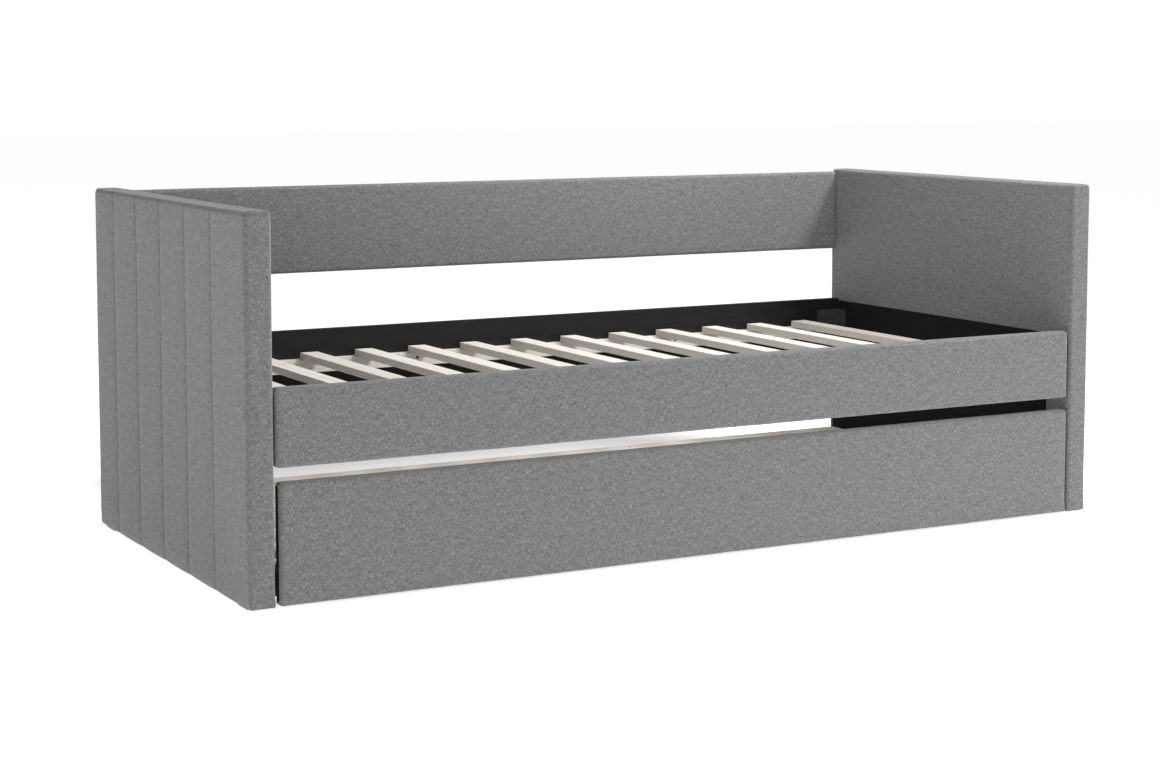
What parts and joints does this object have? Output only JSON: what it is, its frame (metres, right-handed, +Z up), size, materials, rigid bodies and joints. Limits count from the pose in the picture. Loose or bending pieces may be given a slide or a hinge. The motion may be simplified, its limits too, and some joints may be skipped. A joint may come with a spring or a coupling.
{
  "type": "trundle bed",
  "caption": "Upholstered day bed with high channel-stitched arms, a low back panel and a slatted base, and a slatted trundle on wheels that pulls out from under its front rail.",
  "frame": {"origin": "on the floor under the middle of the bed, at the centre of its length and depth", "axes": "+X along the bed to its right end as seen from the front, +Y towards the back, +Z up"},
  "size_m": [2.08, 0.965, 0.772],
  "materials": {
    "grey_fabric": "heathered woven upholstery fabric over foam",
    "black_lining": "thin non-woven lining",
    "black_board": "board with a matt black foil",
    "core_board": "raw particle board",
    "pale_wood": "planed pale softwood, unfinished",
    "black_steel": "satin black powder coat",
    "bare_steel": "zinc-plated",
    "glide_plastic": "matt",
    "wheel_plastic": "satin"
  },
  "bodies": {
    "bed": {"left_arm_cover": "grey_fabric", "left_arm_core": "core_board", "left_arm_lining": "black_lining", "right_arm_cover": "grey_fabric", "right_arm_core": "core_board", "right_arm_lining": "black_lining", "back_panel_cover": "grey_fabric", "back_panel_core": "black_board", "front_rail_cover": "grey_fabric", "front_rail_core": "black_board", "rear_rail": "black_board", "front_slat_ledge": "pale_wood", "rear_slat_ledge": "pale_wood", "bed_slat_01": "pale_wood", "bed_slat_02": "pale_wood", "bed_slat_03": "pale_wood", "bed_slat_04": "pale_wood", "bed_slat_05": "pale_wood", "bed_slat_06": "pale_wood", "bed_slat_07": "pale_wood", "bed_slat_08": "pale_wood", "bed_slat_09": "pale_wood", "bed_slat_10": "pale_wood", "bed_slat_11": "pale_wood", "bed_slat_12": "pale_wood", "bed_slat_13": "pale_wood", "bracket_front_left": "black_steel", "bracket_front_right": "black_steel", "bracket_rear_left": "black_steel", "bracket_rear_right": "black_steel", "glide_front_left": "glide_plastic", "glide_front_right": "glide_plastic", "glide_rear_left": "glide_plastic", "glide_rear_right": "glide_plastic"},
    "trundle": {"trundle_front_cover": "grey_fabric", "trundle_front_core": "black_board", "trundle_left_board": "black_board", "trundle_right_board": "black_board", "trundle_rear_board": "black_board", "trundle_bearer_1": "pale_wood", "trundle_bearer_2": "pale_wood", "trundle_slat_1": "pale_wood", "trundle_slat_2": "pale_wood", "trundle_slat_3": "pale_wood", "trundle_slat_4": "pale_wood", "trundle_slat_5": "pale_wood", "trundle_slat_6": "pale_wood", "trundle_slat_7": "pale_wood", "wheel_fork_front_left": "black_steel", "wheel_fork_front_right": "black_steel", "wheel_fork_rear_left": "black_steel", "wheel_fork_rear_right": "black_steel", "wheel_axle_front_left": "bare_steel", "wheel_axle_front_right": "bare_steel", "wheel_axle_rear_left": "bare_steel", "wheel_axle_rear_right": "bare_steel"},
    "front_left_wheel": {"wheel_front_left": "wheel_plastic"},
    "front_right_wheel": {"wheel_front_right": "wheel_plastic"},
    "rear_left_wheel": {"wheel_rear_left": "wheel_plastic"},
    "rear_right_wheel": {"wheel_rear_right": "wheel_plastic"}
  },
  "joints": [
    {"name": "trundle_slide", "type": "slide", "parent": "bed", "child": "trundle", "axis": [0, -1, 0], "range_m": [0, 0.9]},
    {"name": "front_left_wheel_spin", "type": "hinge", "parent": "trundle", "child": "front_left_wheel", "pos_m": [-0.9337, -0.33, 0.02], "axis": [1, 0, 0], "continuous": true},
    {"name": "front_right_wheel_spin", "type": "hinge", "parent": "trundle", "child": "front_right_wheel", "pos_m": [0.9407, -0.33, 0.02], "axis": [1, 0, 0], "continuous": true},
    {"name": "rear_left_wheel_spin", "type": "hinge", "parent": "trundle", "child": "rear_left_wheel", "pos_m": [-0.9337, 0.33, 0.02], "axis": [1, 0, 0], "continuous": true},
    {"name": "rear_right_wheel_spin", "type": "hinge", "parent": "trundle", "child": "rear_right_wheel", "pos_m": [0.9407, 0.33, 0.02], "axis": [1, 0, 0], "continuous": true}
  ],
  "couplings": [
    {"joint": "front_left_wheel_spin", "follows": "trundle_slide", "rad_per_m": 50},
    {"joint": "front_right_wheel_spin", "follows": "trundle_slide", "rad_per_m": 50},
    {"joint": "rear_left_wheel_spin", "follows": "trundle_slide", "rad_per_m": 50},
    {"joint": "rear_right_wheel_spin", "follows": "trundle_slide", "rad_per_m": 50}
  ]
}
